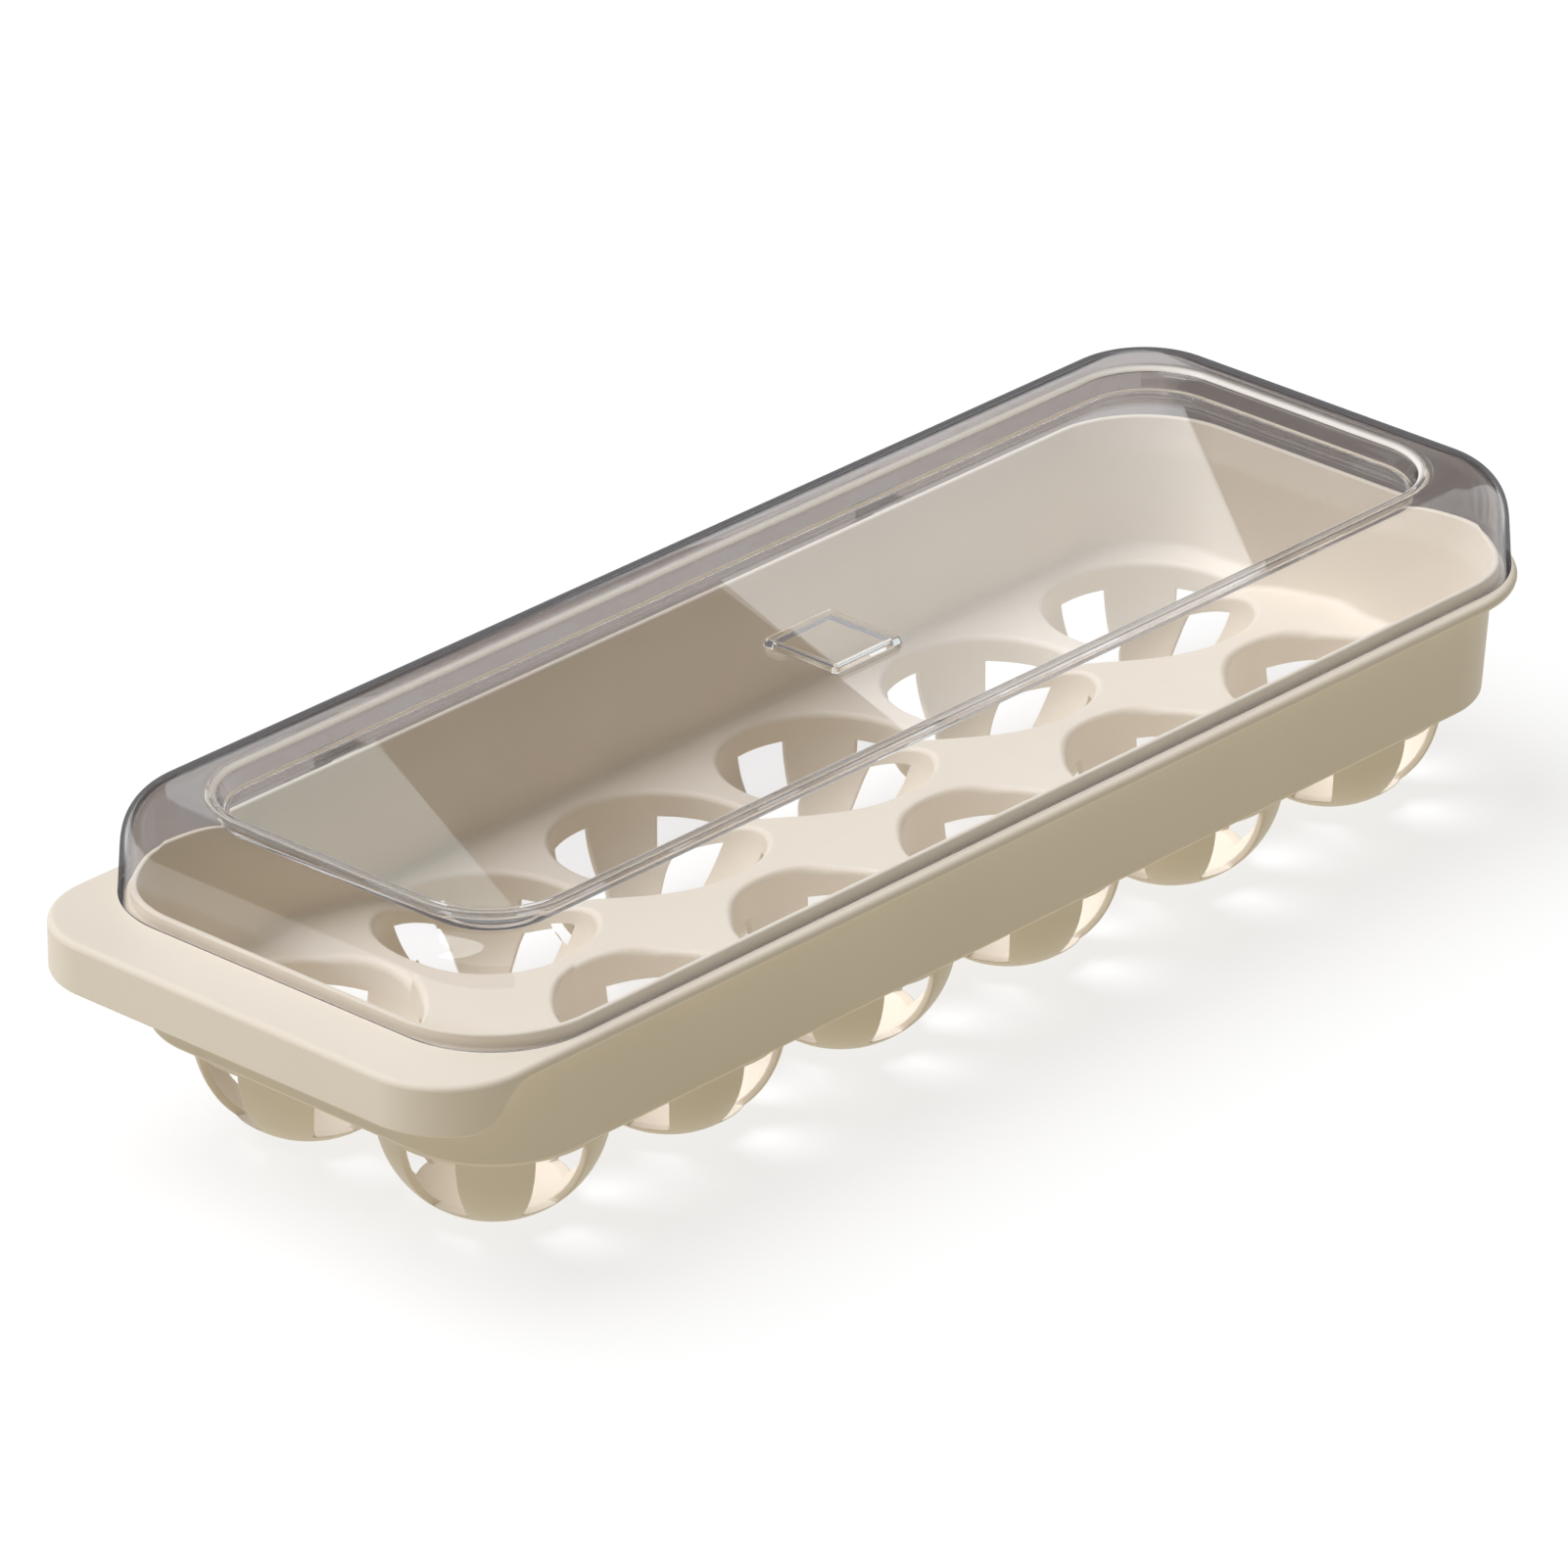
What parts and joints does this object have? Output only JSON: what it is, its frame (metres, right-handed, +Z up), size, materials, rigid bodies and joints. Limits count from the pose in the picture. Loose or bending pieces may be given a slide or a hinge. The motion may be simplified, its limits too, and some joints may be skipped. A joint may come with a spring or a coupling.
{
  "type": "lidded egg keeper",
  "caption": "Rectangular egg tray on ball-shaped cups with side windows, a pull handle at one end and a clear hinged lid with a sunk panel.",
  "frame": {"origin": "under the middle of the whole object, on the plane that its cups stand on", "axes": "+X along the tray, away from the pull handle; +Y across it, towards the lid's hinge; +Z up"},
  "size_m": [0.3328, 0.1256, 0.0735],
  "materials": {
    "tray_cream": "satin moulded polypropylene",
    "lid_clear": "clear polished polystyrene",
    "pin_steel": "drawn stainless wire"
  },
  "bodies": {
    "tray": {"tray_shell": "tray_cream", "egg_cup_01": "tray_cream", "egg_cup_02": "tray_cream", "egg_cup_03": "tray_cream", "egg_cup_04": "tray_cream", "egg_cup_05": "tray_cream", "egg_cup_06": "tray_cream", "egg_cup_07": "tray_cream", "egg_cup_08": "tray_cream", "egg_cup_09": "tray_cream", "egg_cup_10": "tray_cream", "egg_cup_11": "tray_cream", "egg_cup_12": "tray_cream", "hinge_knuckles_left": "tray_cream", "hinge_knuckles_right": "tray_cream", "hinge_pin_left": "pin_steel", "hinge_pin_right": "pin_steel"},
    "lid": {"lid": "lid_clear"}
  },
  "joints": [
    {"name": "lid_hinge", "type": "hinge", "parent": "tray", "child": "lid", "pos_m": [0.00625, 0.0604, 0.0479], "axis": [-1, 0, 0], "range_deg": [0, 105]}
  ]
}
